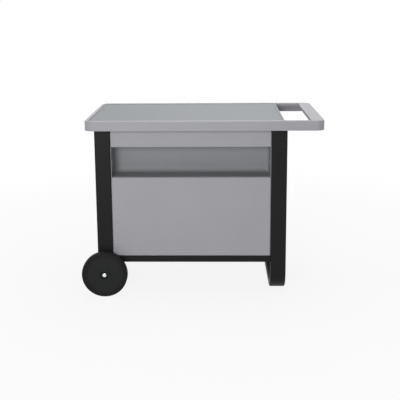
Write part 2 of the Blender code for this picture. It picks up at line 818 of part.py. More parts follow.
empty_scene()
parts = new_collection("barbecue_trolley")
cutters = new_collection("cutters")
holes = {}
legs = {}
rails = {}
stiffeners = {}
cabinet = {}
make_top_frame()
make_deck()
make_side_frames()
make_cabinet()
make_fasteners()
make_running_gear()
cut_holes()
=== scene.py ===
"""The looks of a barbecue trolley: black tube frame, grey sheet cabinet and top, two wheels."""

import json
import math

import bmesh
import bpy
from mathutils import Matrix, Vector


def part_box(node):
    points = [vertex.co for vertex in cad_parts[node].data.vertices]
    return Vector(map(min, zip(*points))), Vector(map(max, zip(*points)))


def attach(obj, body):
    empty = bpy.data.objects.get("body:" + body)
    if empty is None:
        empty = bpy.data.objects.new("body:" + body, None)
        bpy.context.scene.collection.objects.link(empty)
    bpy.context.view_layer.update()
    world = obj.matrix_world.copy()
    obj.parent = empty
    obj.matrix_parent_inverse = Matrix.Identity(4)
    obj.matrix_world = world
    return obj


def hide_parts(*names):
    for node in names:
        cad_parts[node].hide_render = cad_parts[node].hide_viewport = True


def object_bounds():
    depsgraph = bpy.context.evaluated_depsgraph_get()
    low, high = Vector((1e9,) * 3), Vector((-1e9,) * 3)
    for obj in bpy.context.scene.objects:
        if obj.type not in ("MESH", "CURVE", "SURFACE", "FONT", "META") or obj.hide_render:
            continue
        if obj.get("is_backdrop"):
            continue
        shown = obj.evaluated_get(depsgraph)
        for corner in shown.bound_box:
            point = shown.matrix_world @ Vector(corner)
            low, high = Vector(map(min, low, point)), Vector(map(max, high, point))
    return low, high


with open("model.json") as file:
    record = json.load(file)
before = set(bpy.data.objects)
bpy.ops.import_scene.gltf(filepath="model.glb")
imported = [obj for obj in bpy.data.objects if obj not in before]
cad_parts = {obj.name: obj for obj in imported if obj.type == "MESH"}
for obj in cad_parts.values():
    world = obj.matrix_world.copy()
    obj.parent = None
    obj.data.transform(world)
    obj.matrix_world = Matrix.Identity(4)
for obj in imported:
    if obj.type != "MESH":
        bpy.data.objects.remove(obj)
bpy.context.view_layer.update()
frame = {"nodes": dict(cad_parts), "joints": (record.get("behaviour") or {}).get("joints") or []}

# Side frames. Flat steel tube with rounded edges: one length is bent into a U for the sled on
# the right, two straight legs stand on the left, and rails are welded between their tops.
# All of it is powder coated in satin black.
LEG_EDGE = 0.005
LEG_WALL = 0.0015
SLED_BEND = 0.095
BEND_STEPS = 40
EDGE_STEPS = 6
CREASE = math.radians(40)
BLACK = {"colour": (0.0105, 0.0105, 0.0115), "roughness": 0.45, "specular": 0.12}
NOISE_MIDDLE = 0.5
COAT_CLOUDS = 5.0
COAT_PEEL = 620.0
COAT_FLECKS = 1900.0
COAT_FLECK_SHARE = 0.4
COAT_SPREAD = 0.07
COAT_CLOUD_GLOSS = 0.10
COAT_PEEL_GLOSS = 0.16
COAT_PEEL_HEIGHT = 0.00003


class Value:
    """One socket of a node tree, so that sums on it add Math nodes."""

    def __init__(self, graph, socket):
        self.graph = graph
        self.socket = socket

    def maths(self, operation, first, second):
        return self.graph.node("ShaderNodeMath", {"operation": operation}, {0: first, 1: second})

    def larger(self, other):
        return self.maths("MAXIMUM", self, other)

    def __add__(self, other):
        return self.maths("ADD", self, other)

    def __sub__(self, other):
        return self.maths("SUBTRACT", self, other)

    def __rsub__(self, other):
        return self.maths("SUBTRACT", other, self)

    def __mul__(self, other):
        return self.maths("MULTIPLY", self, other)

    __radd__ = __add__
    __rmul__ = __mul__


class Graph:
    """A node tree, with one way to add a node: its kind, its settings and its sockets' values."""

    def __init__(self, tree):
        self.tree = tree

    def feed(self, value, socket):
        if isinstance(value, Value):
            self.tree.links.new(value.socket, socket)
        else:
            socket.default_value = value

    def node(self, kind, settings, values, output=0):
        made = self.tree.nodes.new(kind)
        for name, value in settings.items():
            setattr(made, name, value)
        for name, value in values.items():
            self.feed(value, made.inputs[name])
        return Value(self, made.outputs[output])


class Finish(Graph):
    """A material whose colour, roughness and surface vary with the place on the piece."""

    def __init__(self, name, metallic=0.0, specular=0.5):
        self.material = bpy.data.materials.new(name)
        self.material.use_nodes = True
        super().__init__(self.material.node_tree)
        self.shader = self.tree.nodes["Principled BSDF"]
        self.shader.inputs["Metallic"].default_value = metallic
        self.shader.inputs["Specular IOR Level"].default_value = specular
        self.spot = self.node("ShaderNodeTexCoord", {}, {}, "Object")

    def noise(self, scale, detail=2.0, stretch=(1.0, 1.0, 1.0)):
        spot = self.node("ShaderNodeMapping", {}, {"Vector": self.spot, "Scale": stretch})
        values = {"Vector": spot, "Scale": scale, "Detail": detail}
        return self.node("ShaderNodeTexNoise", {}, values)

    def blend(self, factor, first, second):
        """Mixes two colours, through the Mix node's own colour sockets."""
        factor_in, first_in, second_in, colour_out = 0, 6, 7, 2
        values = {factor_in: factor, first_in: (*first, 1.0), second_in: (*second, 1.0)}
        return self.node("ShaderNodeMix", {"data_type": "RGBA"}, values, colour_out)

    def skin(self, height, distance):
        values = {"Height": height, "Strength": 1.0, "Distance": distance}
        self.feed(self.node("ShaderNodeBump", {}, values), self.shader.inputs["Normal"])

    def surface(self, colour, roughness):
        self.feed(colour, self.shader.inputs["Base Color"])
        self.feed(roughness, self.shader.inputs["Roughness"])


def shaded(colour, share):
    """A colour made darker or lighter, to a share of itself."""
    return [share * channel for channel in colour]


def powder_coat(name, colour, roughness, specular):
    """Satin powder coat: slightly clouded colour under a fine orange-peel skin."""
    paint = Finish(name, specular=specular)
    cloud = paint.noise(COAT_CLOUDS)
    peel = paint.noise(COAT_PEEL, detail=1.0)
    fleck = paint.noise(COAT_FLECKS, detail=0.0)
    mottle = (1 - COAT_FLECK_SHARE) * cloud + COAT_FLECK_SHARE * fleck
    cloud_gloss = COAT_CLOUD_GLOSS * (cloud - NOISE_MIDDLE)
    peel_gloss = COAT_PEEL_GLOSS * (peel - NOISE_MIDDLE)
    paint.surface(
        paint.blend(mottle, shaded(colour, 1 - COAT_SPREAD), shaded(colour, 1 + COAT_SPREAD)),
        roughness + cloud_gloss + peel_gloss,
    )
    paint.skin(peel, COAT_PEEL_HEIGHT)
    return paint.material


def freeze(thing):
    """The evaluated mesh of an object, whose place is applied; the object is removed."""
    bpy.context.view_layer.update()
    evaluated = thing.evaluated_get(bpy.context.evaluated_depsgraph_get())
    mesh = bpy.data.meshes.new_from_object(evaluated)
    mesh.transform(thing.matrix_world)
    bpy.data.objects.remove(thing, do_unlink=True)
    return mesh


def linked(name, data):
    thing = bpy.data.objects.new(name, data)
    bpy.context.scene.collection.objects.link(thing)
    return thing


def settle(name, mesh, material, body, slot, *nodes):
    """Puts a finished mesh on its body, in place of the nodes that it stands for."""
    mesh.materials.clear()
    mesh.materials.append(material)
    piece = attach(linked(name, mesh), body)
    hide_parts(*nodes)


def open_tree(name, inputs):
    """Starts a Geometry Nodes tree with named inputs; gives its graph and the inputs' values."""
    graph = Graph(bpy.data.node_groups.new(name, "GeometryNodeTree"))
    sockets = graph.tree.interface
    for label, kind in inputs.items():
        sockets.new_socket(label, in_out="INPUT", socket_type=f"NodeSocket{kind}")
    sockets.new_socket("Shape", in_out="OUTPUT", socket_type="NodeSocketGeometry")
    given = graph.tree.nodes.new("NodeGroupInput")
    return graph, {label: Value(graph, given.outputs[label]) for label in inputs}


def close_tree(graph, shape, material):
    """Ends a tree: what repeats is made real, and all of it gets its material."""
    real = graph.node("GeometryNodeRealizeInstances", {}, {"Geometry": shape})
    values = {"Geometry": real, "Material": material}
    painted = graph.node("GeometryNodeSetMaterial", {}, values)
    graph.feed(painted, graph.tree.nodes.new("NodeGroupOutput").inputs["Shape"])
    return graph.tree


def set_inputs(modifier, tree, **values):
    """Gives a Geometry Nodes modifier its tree and the tree's named inputs."""
    modifier.node_group = tree
    for item in tree.interface.items_tree:
        if item.item_type == "SOCKET" and item.in_out == "INPUT" and item.name in values:
            modifier[item.identifier] = values[item.name]


def flat_tube_tree():
    """Sweeps a rectangle with rounded edges along a path whose corners are bent."""
    sizes = dict.fromkeys(("Width", "Depth", "Edge", "Bend"), "Float")
    inputs = {"Path": "Geometry", **sizes, "Material": "Material"}
    graph, asked = open_tree("flat_tube", inputs)

    def filleted(curve, radius, count):
        values = {"Curve": curve, "Radius": radius, "Count": count, "Limit Radius": True}
        return graph.node("GeometryNodeFilletCurve", {"mode": "POLY"}, values)

    section = graph.node(
        "GeometryNodeCurvePrimitiveQuadrilateral",
        {"mode": "RECTANGLE"},
        {"Width": asked["Width"], "Height": asked["Depth"]},
    )
    values = {
        "Curve": filleted(asked["Path"], asked["Bend"], BEND_STEPS),
        "Profile Curve": filleted(section, asked["Edge"], EDGE_STEPS),
    }
    tube = graph.node("GeometryNodeCurveToMesh", {}, values)
    smooth = graph.node("GeometryNodeSetShadeSmooth", {}, {"Geometry": tube})
    return close_tree(graph, smooth, asked["Material"])


def add_wall(thing, wall):
    """Gives a folded or swept skin its sheet thickness, on the inside."""
    sheet = thing.modifiers.new("sheet", "SOLIDIFY")
    sheet.thickness = wall
    sheet.offset = -1
    sheet.use_even_offset = True


def crisp(mesh):
    """Shading that is smooth on folds and bends, flat on flats and sharp at cut edges."""
    mesh.shade_smooth()
    mesh.set_sharp_from_angle(angle=CREASE)
    thing = linked("crisp", mesh)
    thing.modifiers.new("flats", "WEIGHTED_NORMAL").keep_sharp = True
    return freeze(thing)


def flat_tube(node, path, width, depth, bend=0.0):
    """A flat tube along a path of points, in place of the node of its name."""
    curve = bpy.data.curves.new(node, "CURVE")
    curve.dimensions = "3D"
    spline = curve.splines.new("POLY")
    spline.points.add(len(path) - 1)
    for point, place in zip(spline.points, path):
        point.co = (*place, 1.0)
    thing = linked(node, curve)
    sizes = {"Width": width, "Depth": depth, "Edge": LEG_EDGE, "Bend": bend}
    sweep = thing.modifiers.new("sweep", "NODES")
    set_inputs(sweep, tube_tree, Material=black_paint, **sizes)
    skin = linked(node, freeze(thing))
    add_wall(skin, LEG_WALL)
    settle(f"{node}_tube", crisp(freeze(skin)), black_paint, "trolley", "black_paint", node)


black_paint = powder_coat("satin_black_powder_coat", **BLACK)
tube_tree = flat_tube_tree()
for node in ("left_front_leg", "left_rear_leg"):
    low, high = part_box(node)
    middle = (low + high) / 2
    path = [(middle.x, middle.y, high.z), (middle.x, middle.y, low.z)]
    flat_tube(node, path, high.x - low.x, high.y - low.y)
for node in ("left_top_rail", "right_top_rail"):
    low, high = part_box(node)
    middle = (low + high) / 2
    path = [(middle.x, low.y, middle.z), (middle.x, high.y, middle.z)]
    flat_tube(node, path, high.x - low.x, high.z - low.z)
for node in ("rear_top_rail", "deck_stiffener_front", "deck_stiffener_rear"):
    low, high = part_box(node)
    middle = (low + high) / 2
    path = [(low.x, middle.y, middle.z), (high.x, middle.y, middle.z)]
    flat_tube(node, path, high.y - low.y, high.z - low.z)
low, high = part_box("right_sled")
leg_low, leg_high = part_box("left_front_leg")
half = (leg_high.y - leg_low.y) / 2
middle = (low.x + high.x) / 2
path = [
    (middle, low.y + half, high.z),
    (middle, low.y + half, low.z + half),
    (middle, high.y - half, low.z + half),
    (middle, high.y - half, high.z),
]
flat_tube("right_sled", path, high.x - low.x, 2 * half, SLED_BEND - half)

# Tube ends. Moulded plugs with a thin flange close the open ends of the legs and the sled;
# they keep their solids and get the fine grain of black injection-moulded plastic.
PLASTIC = {"colour": (0.0115, 0.012, 0.0125), "roughness": 0.5, "grain": 1100.0}
MOULD_SPECULAR = 0.16
MOULD_CLOUDS = 9.0
MOULD_PIT_SHARE = 0.5
MOULD_SPREAD = 0.12
MOULD_PIT_GLOSS = 0.12
MOULD_CLOUD_GLOSS = 0.08
MOULD_PIT_HEIGHT = 0.00005


def moulded(name, colour, roughness, grain):
    """Injection-moulded plastic or rubber with a fine spark-eroded grain."""
    plastic = Finish(name, specular=MOULD_SPECULAR)
    cloud = plastic.noise(MOULD_CLOUDS)
    pits = plastic.noise(grain, detail=3.0)
    mottle = (1 - MOULD_PIT_SHARE) * cloud + MOULD_PIT_SHARE * pits
    pit_gloss = MOULD_PIT_GLOSS * (pits - NOISE_MIDDLE)
    cloud_gloss = MOULD_CLOUD_GLOSS * (cloud - NOISE_MIDDLE)
    plastic.surface(
        plastic.blend(mottle, shaded(colour, 1 - MOULD_SPREAD), shaded(colour, 1 + MOULD_SPREAD)),
        roughness + pit_gloss + cloud_gloss,
    )
    plastic.skin(pits, MOULD_PIT_HEIGHT)
    return plastic.material


black_plastic = moulded("grained_black_plastic", **PLASTIC)
for node, thing in frame["nodes"].items():
    if "_plug" in node:
        thing.data.materials.clear()
        thing.data.materials.append(black_plastic)

# Shelf and cabinet sheets. Pressed from thin steel with folded edges, the shelf black and the
# panels light grey; the shelf is bolted and the others are screwed to the legs' inner faces.
# The tray of the recess is notched at the top to pass behind the apron.
SHEET = 0.0012
SHEET_EDGE = 0.004
SHELF_EDGE = 0.0015
TRAY_RADIUS = 0.0215
TRAY_END_FOLD = 0.003
FOLD_STEPS = 10
NOTCH_OVERRUN = 0.01
NOTCH_GAP = 0.0003
SAME_WAY = 0.9
FRONT, BACK = (0, -1, 0), (0, 1, 0)
LEFT, RIGHT = (-1, 0, 0), (1, 0, 0)
TOP, UNDERSIDE = (0, 0, 1), (0, 0, -1)
GREY = {"colour": (0.36, 0.36, 0.385), "roughness": 0.5, "specular": 0.4}
COOL_GREY = {"colour": (0.228, 0.24, 0.251), "roughness": 0.55, "specular": 0.3}
# The tray's colour is its own cool tint plus painted shade: it is darker than the panels' grey to
# stand for the shade in the recess.
TRAY_GREY_AND_SHADE = {"colour": (0.279, 0.288, 0.302), "roughness": 0.55, "specular": 0.3}


def block(low, high):
    """A box from one corner to the other."""
    work = bmesh.new()
    bmesh.ops.create_cube(work, size=1.0)
    bmesh.ops.scale(work, vec=high - low, verts=work.verts)
    bmesh.ops.translate(work, vec=(low + high) / 2, verts=work.verts)
    work.normal_update()
    return work


def meshed(work, name):
    mesh = bpy.data.meshes.new(name)
    work.to_mesh(mesh)
    work.free()
    return mesh


def folded_sheet(node, open_sides, edge, paint, slot, notch=None, end_fold=None):
    """A sheet folded over the node's box, open on some sides; folds that run back may differ."""
    work = block(*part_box(node))
    gone = [
        face
        for face in work.faces
        if any(face.normal.dot(Vector(side)) > SAME_WAY for side in open_sides)
    ]
    bmesh.ops.delete(work, geom=gone, context="FACES")
    share = work.edges.layers.float.new("bevel_weight_edge")
    for line in work.edges:
        start, end = (corner.co for corner in line.verts)
        runs_back = start.x == end.x and start.z == end.z
        line[share] = end_fold / edge if end_fold and runs_back else 1.0
    thing = linked(node, meshed(work, node))
    fold = thing.modifiers.new("fold", "BEVEL")
    fold.width = edge
    fold.segments = FOLD_STEPS
    fold.limit_method = "WEIGHT"
    add_wall(thing, SHEET)
    if notch:
        cut = thing.modifiers.new("notch", "BOOLEAN")
        cut.object = notch
    settle(f"{node}_sheet", crisp(freeze(thing)), paint, "trolley", slot, node)


grey_paint = powder_coat("satin_grey_powder_coat", **GREY)
deck_paint = powder_coat("cool_grey_powder_coat", **COOL_GREY)
# The tray's paint holds painted shade of the recess as well as its cool grey tint.
tray_paint_and_shade = powder_coat("cool_grey_tray_coat", **TRAY_GREY_AND_SHADE)
folded_sheet("bottom_shelf", [UNDERSIDE], SHELF_EDGE, black_paint, "black_paint")
for node in ("front_panel", "apron_panel"):
    folded_sheet(node, [BACK], SHEET_EDGE, grey_paint, "grey_paint")
for node, inner_side in (("left_side_panel", RIGHT), ("right_side_panel", LEFT)):
    sides = [inner_side, FRONT, TOP, UNDERSIDE]
    folded_sheet(node, sides, SHEET_EDGE, grey_paint, "grey_paint")
apron_low, apron_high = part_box("apron_panel")
tray_low, tray_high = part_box("tool_tray")
clear = Vector((NOTCH_OVERRUN, NOTCH_GAP, NOTCH_GAP))
notch_low = Vector((tray_low.x, tray_low.y - NOTCH_OVERRUN, apron_low.z)) - clear
notch_high = Vector((tray_high.x, apron_high.y, tray_high.z + NOTCH_OVERRUN)) + clear
notch = linked("tray_notch", meshed(block(notch_low, notch_high), "tray_notch"))
sides = [FRONT, TOP]
folded_sheet("tool_tray", sides, TRAY_RADIUS, tray_paint_and_shade, "deck_paint", notch, TRAY_END_FOLD)
bpy.data.objects.remove(notch, do_unlink=True)

# Tabletop. A pressed steel rim with a deep skirt, a rounded edge and a narrow lip round the
# deck; past the deck it runs on as a hoop, whose broad far side is the handle.
TOP_CORNER = 0.035
TOP_WALL = 0.002
TOP_EDGE = 0.0045
INNER_EDGE = 0.0024
CUT_EDGE = 0.0009
LIP_ROLL = 0.0015
HOLE_ROLL = 0.0042
LIP_WIDTH = 0.016
LEDGE_WIDTH = 0.012
LEDGE_DROP = 0.0083
LEDGE_FOLD = 0.0005
GRIP_WIDTH = 0.057
HOOP_RAIL = 0.020
HOLE_LENGTH = 0.1125
HOLE_CORNER = 0.008
HOLE_FLANGE = 0.015
CROSSBAR_WIDTH = 0.0065
DECK_CORNER = 0.019
FLAT = 0.0003
LEAST_CORNER = 0.0002
CORNER_STEPS = 16
PROFILE_STEPS = 8
WELD = 0.000001


def rounded(corners, steps):
    """A run of (u, v, radius) corners, the ends included, with each corner rounded."""
    points = []
    for i, (u, v, radius) in enumerate(corners):
        here = Vector((u, v))
        if not radius:
            points.append(here)
            continue
        before = (Vector(corners[i - 1][:2]) - here).normalized()
        after = (Vector(corners[(i + 1) % len(corners)][:2]) - here).normalized()
        half = before.angle(after) / 2
        centre = here + (before + after).normalized() * radius / math.sin(half)
        start = here + before * radius / math.tan(half) - centre
        end = here + after * radius / math.tan(half) - centre
        points += [centre + radius * start.slerp(end, step / steps) for step in range(steps + 1)]
    return points


def outline(low, high, corner, inset):
    """A rectangle with round corners, drawn in by an inset."""
    radius = max(corner - inset, LEAST_CORNER)
    left, front = low[0] + inset, low[1] + inset
    right, back = high[0] - inset, high[1] - inset
    corners = [(right, back), (left, back), (left, front), (right, front)]
    return rounded([(x, y, radius) for x, y in corners], CORNER_STEPS)


def skin_loops(work, loops):
    """Joins each loop of points to the next one with faces; gives the first and last loop."""
    rings = [[work.verts.new(point) for point in loop] for loop in loops]
    for ring, following in zip(rings, rings[1:]):
        for i in range(len(ring)):
            j = (i + 1) % len(ring)
            work.faces.new((ring[i], ring[j], following[j], following[i]))
    return rings[0], rings[-1]


def pressed_edge(work, low, high, corner, profile):
    """Runs a rounded (inset, height) profile round an outline."""
    loops = []
    for inset, height in rounded(profile, PROFILE_STEPS):
        loops.append([(x, y, height) for x, y in outline(low, high, corner, inset)])
    return skin_loops(work, loops)


def fill_flat(work, rings):
    """Fills the flat between rings, the first of which holds the others."""
    edges = [work.edges.get((r[i - 1], r[i])) for r in rings for i in range(len(r))]
    bmesh.ops.triangle_fill(work, use_beauty=True, edges=edges)


def pressed_mesh(work, name):
    """The finished mesh of a closed pressing, its faces turned outwards."""
    bmesh.ops.remove_doubles(work, verts=work.verts, dist=WELD)
    wires = [edge for edge in work.edges if not edge.link_faces]
    bmesh.ops.delete(work, geom=wires, context="EDGES")
    bmesh.ops.recalc_face_normals(work, faces=work.faces)
    if work.calc_volume(signed=True) < 0:
        bmesh.ops.reverse_faces(work, faces=work.faces)
    return crisp(meshed(work, name))


low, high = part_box("top_frame")
deck_low = (low.x + LIP_WIDTH, low.y + LIP_WIDTH)
hole_high = (high.x - GRIP_WIDTH, high.y - HOOP_RAIL)
hole_low = (hole_high[0] - HOLE_LENGTH, low.y + HOOP_RAIL)
deck_high = (hole_low[0] - CROSSBAR_WIDTH, high.y - LIP_WIDTH)
roof = high.z - TOP_WALL
ledge = high.z - LEDGE_DROP
flange = high.z - HOLE_FLANGE
rim_profile = [
    (TOP_EDGE, roof, 0),
    (TOP_WALL, roof, INNER_EDGE),
    (TOP_WALL, low.z, CUT_EDGE),
    (0, low.z, CUT_EDGE),
    (0, high.z, TOP_EDGE),
    (TOP_EDGE + FLAT, high.z, 0),
]
deck_profile = [
    (-LIP_ROLL - FLAT, high.z, 0),
    (0, high.z, LIP_ROLL),
    (0, ledge, LEDGE_FOLD),
    (LEDGE_WIDTH, ledge, LEDGE_FOLD),
    (LEDGE_WIDTH, ledge - TOP_WALL, LEDGE_FOLD),
    (-TOP_WALL, ledge - TOP_WALL, LEDGE_FOLD),
    (-TOP_WALL, roof, 0),
]
hole_profile = [
    (-HOLE_ROLL - FLAT, high.z, 0),
    (0, high.z, HOLE_ROLL),
    (0, flange, CUT_EDGE),
    (-TOP_WALL, flange, CUT_EDGE),
    (-TOP_WALL, roof, 0),
]
work = bmesh.new()
under, over = pressed_edge(work, low[:2], high[:2], TOP_CORNER, rim_profile)
deck_over, deck_under = pressed_edge(work, deck_low, deck_high, DECK_CORNER, deck_profile)
hole_over, hole_under = pressed_edge(work, hole_low, hole_high, HOLE_CORNER, hole_profile)
fill_flat(work, [over, deck_over, hole_over])
fill_flat(work, [under, deck_under, hole_under])
mesh = pressed_mesh(work, "top_frame")
settle("top_frame_pressing", mesh, grey_paint, "trolley", "grey_paint", "top_frame")

# Deck. A flat steel panel with a folded edge, dropped into the rim's ledge a little below the
# lip; its powder coat is a slightly darker and cooler grey than the rim's.
DECK_EDGE = 0.0008
DECK_WALL = 0.0015
DECK_INNER_FOLD = 0.0002
DECK_CUT_EDGE = 0.0004

low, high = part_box("deck_panel")
profile = [
    (DECK_WALL + FLAT, high.z - DECK_WALL, 0),
    (DECK_WALL, high.z - DECK_WALL, DECK_INNER_FOLD),
    (DECK_WALL, low.z, DECK_CUT_EDGE),
    (0, low.z, DECK_CUT_EDGE),
    (0, high.z, DECK_EDGE),
    (DECK_EDGE + FLAT, high.z, 0),
]
work = bmesh.new()
under, over = pressed_edge(work, low[:2], high[:2], DECK_CORNER, profile)
fill_flat(work, [over])
fill_flat(work, [under])
mesh = pressed_mesh(work, "deck_panel")
settle("deck_panel_pressing", mesh, deck_paint, "trolley", "deck_paint", "deck_panel")

# Fixings. Zinc-plated socket button screws hold the sheets, and hexagon bolts hold the shelf
# and the top; each lies where its solid does, with its head against the sheet. The two screws
# that show in the recess are painted with the tray's colour, painted recess shade included.
SCREW_HEAD = 0.00475
SCREW_RISE = 0.0028
SHOULDER_DROP = 0.00154
DOME_RADIUS = 0.0038
DOME_DROP = 0.000448
DOME_BEND = 0.001
SCREW_FLAT = 0.0026125
SOCKET = 0.0015
BOLT_HEAD = 0.005
BOLT_RISE = 0.004
BOLT_CHAMFER = 0.0006
HEAD_STEPS = 36
LATHE_STEPS = 6
SIXTH = math.pi / 3
ZINC = {"colour": (0.55, 0.55, 0.57), "roughness": 0.32}
PLATE_CLOUDS = 60.0
PLATE_MARKS = 900.0
PLATE_STRETCH = (0.15, 0.15, 1.0)
PLATE_TARNISH = 0.14
PLATE_GLOSS = 0.10
PLATE_MARK_HEIGHT = 0.00001


def plated(name, colour, roughness):
    """Bright plating with faint turning marks and a cloudy tarnish."""
    metal = Finish(name, metallic=1.0)
    cloud = metal.noise(PLATE_CLOUDS)
    marks = metal.noise(PLATE_MARKS, detail=1.0, stretch=PLATE_STRETCH)
    cloud_gloss = PLATE_GLOSS * (cloud - NOISE_MIDDLE)
    mark_gloss = PLATE_GLOSS * (marks - NOISE_MIDDLE)
    metal.surface(
        metal.blend(cloud, shaded(colour, 1 - PLATE_TARNISH), colour),
        roughness + cloud_gloss + mark_gloss,
    )
    metal.skin(marks, PLATE_MARK_HEIGHT)
    return metal.material


def head_mesh(name, loops):
    """A head lofted from loops, from its seat over its top and down into any socket."""
    work = bmesh.new()
    first, last = skin_loops(work, loops)
    work.faces.new(first)
    work.faces.new(last)
    return pressed_mesh(work, name)


def side_reach(angle, radius):
    """How far a hexagon's side lies from its middle at an angle; its flats are at the radius."""
    return radius / math.cos((angle + SIXTH / 2) % SIXTH - SIXTH / 2)


def ring(radius, height, steps=HEAD_STEPS, hexagon=False):
    """A circle of points, or a hexagon whose width across flats is twice the radius."""
    points = []
    for step in range(steps):
        angle = 2 * math.pi * step / steps
        reach = side_reach(angle, radius) if hexagon else radius
        points.append((reach * math.cos(angle), reach * math.sin(angle), height))
    return points


def fixings_tree():
    """Puts a copy of a head at each point, turned to face along the point's direction."""
    inputs = {"Points": "Geometry", "Head": "Object", "Size": "Float", "Material": "Material"}
    graph, asked = open_tree("fixings", inputs)
    head = graph.node("GeometryNodeObjectInfo", {}, {"Object": asked["Head"]}, "Geometry")
    facing = graph.node(
        "GeometryNodeInputNamedAttribute", {"data_type": "FLOAT_VECTOR"}, {"Name": "facing"}
    )
    turn = graph.node("FunctionNodeAlignRotationToVector", {"axis": "Z"}, {"Vector": facing})
    values = {
        "Points": asked["Points"],
        "Instance": head,
        "Rotation": turn,
        "Scale": asked["Size"],
    }
    placed = graph.node("GeometryNodeInstanceOnPoints", {}, values)
    return close_tree(graph, placed, asked["Material"])


def fixings(name, head, nodes, finish):
    """All fixings of one kind, each placed by its node's box: its seat, and the way it faces."""
    seats, ways = [], []
    for node in nodes:
        low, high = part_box(node)
        middle = (low + high) / 2
        if node.startswith("top_bolt"):
            seats.append((middle.x, middle.y, low.z))
            ways.append(UNDERSIDE)
        else:
            left = node.endswith("left")
            seats.append((high.x if left else low.x, middle.y, middle.z))
            ways.append(RIGHT if left else LEFT)
    mesh = bpy.data.meshes.new(name)
    mesh.from_pydata(seats, [], [])
    facing = mesh.attributes.new("facing", "FLOAT_VECTOR", "POINT")
    for item, way in zip(facing.data, ways):
        item.vector = way
    points = linked(name, mesh)
    copies = points.modifiers.new("copies", "NODES")
    shape = linked(f"{name}_head", head)
    set_inputs(copies, heads_tree, Head=shape, Size=1.0, Material=finish)
    settle(name, freeze(points), finish, "trolley", "zinc_steel", *nodes)
    bpy.data.objects.remove(shape, do_unlink=True)


zinc = plated("bright_zinc", **ZINC)
heads_tree = fixings_tree()
tray_screws = ["tray_screw_left", "tray_screw_right"]
screws = sorted(node for node in frame["nodes"] if "_screw_" in node and node not in tray_screws)
bolts = sorted(node for node in frame["nodes"] if "_bolt_" in node)
corners = [
    (SCREW_HEAD, -SCREW_RISE, 0),
    (SCREW_HEAD, -SHOULDER_DROP, 0),
    (DOME_RADIUS, -DOME_DROP, DOME_BEND),
    (SCREW_FLAT, 0, 0),
]
loops = [ring(radius, height) for radius, height in rounded(corners, LATHE_STEPS)]
loops += [ring(SOCKET, depth, hexagon=True) for depth in (0, -SOCKET)]
fixings("sheet_screws", head_mesh("screw_head", loops), screws, zinc)
fixings("tray_screws", head_mesh("screw_head", loops), tray_screws, tray_paint_and_shade)
loops = [ring(BOLT_HEAD, height, hexagon=True) for height in (-BOLT_RISE, -BOLT_CHAMFER)]
loops.append(ring(BOLT_HEAD - BOLT_CHAMFER / 2, 0))
fixings("frame_bolts", head_mesh("bolt_head", loops), bolts, zinc)

# Axle. A turned steel rod runs through nylon bushes in both left legs; a washer keeps each
# wheel's hub off its bush.
ROD_EDGE = 0.0008
GAP = 0.0003
BUSH_WALL = 0.0027
BUSH_FLANGE = 0.0025
FLANGE_EDGE = 0.0008
MOUTH_EDGE = 0.0004
WASHER_EDGE = 0.0004
BROKEN_EDGE = 0.0003
AXLE_STEPS = 96
NYLON = {"colour": (0.30, 0.30, 0.31), "roughness": 0.55, "grain": 800.0}


def turned(profile, centre, way, steps=AXLE_STEPS):
    """A closed (radius, height) profile turned about a centre, its top facing along Y."""
    work = bmesh.new()
    loops = [ring(radius, height, steps) for radius, height in rounded(profile, LATHE_STEPS)]
    skin_loops(work, loops + loops[:1])
    turn = Matrix.Rotation(-way * math.pi / 2, 4, "X")
    bmesh.ops.transform(work, matrix=Matrix.Translation(centre) @ turn, verts=work.verts)
    return pressed_mesh(work, "turned")


def outer_face(node, way):
    """A turned node's radius and length, and the axle's point at the node's outer face."""
    low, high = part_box(node)
    place = Vector((axle_middle.x, high.y if way > 0 else low.y, axle_middle.z))
    return (high.x - low.x) / 2, high.y - low.y, place


nylon = moulded("grey_nylon", **NYLON)
low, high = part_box("axle")
axle_radius = (high.x - low.x) / 2
axle_middle = (low + high) / 2
half = (high.y - low.y) / 2
profile = [
    (0, half, 0),
    (axle_radius, half, ROD_EDGE),
    (axle_radius, -half, ROD_EDGE),
    (0, -half, 0),
]
mesh = turned(profile, axle_middle, 1)
settle("axle_rod", mesh, zinc, "trolley", "zinc_steel", "axle")
bore = axle_radius + GAP
barrel = bore + BUSH_WALL
wheel_ends = (("front", -1), ("rear", 1))
for end, way in wheel_ends:
    flange, long, face = outer_face(f"{end}_axle_bush", way)
    profile = [
        (bore, 0, MOUTH_EDGE),
        (flange, 0, FLANGE_EDGE),
        (flange, -BUSH_FLANGE, BROKEN_EDGE),
        (barrel, -BUSH_FLANGE, 0),
        (barrel, -long, BROKEN_EDGE),
        (bore, -long, BROKEN_EDGE),
    ]
    mesh = turned(profile, face, way)
    settle(f"{end}_bush", mesh, nylon, "trolley", "grey_nylon", f"{end}_axle_bush")
    reach, thick, face = outer_face(f"{end}_wheel_washer", way)
    profile = [
        (bore, 0, BROKEN_EDGE),
        (reach, 0, WASHER_EDGE),
        (reach, -thick, WASHER_EDGE),
        (bore, -thick, BROKEN_EDGE),
    ]
    mesh = turned(profile, face, way)
    settle(f"{end}_washer", mesh, zinc, "trolley", "zinc_steel", f"{end}_wheel_washer")

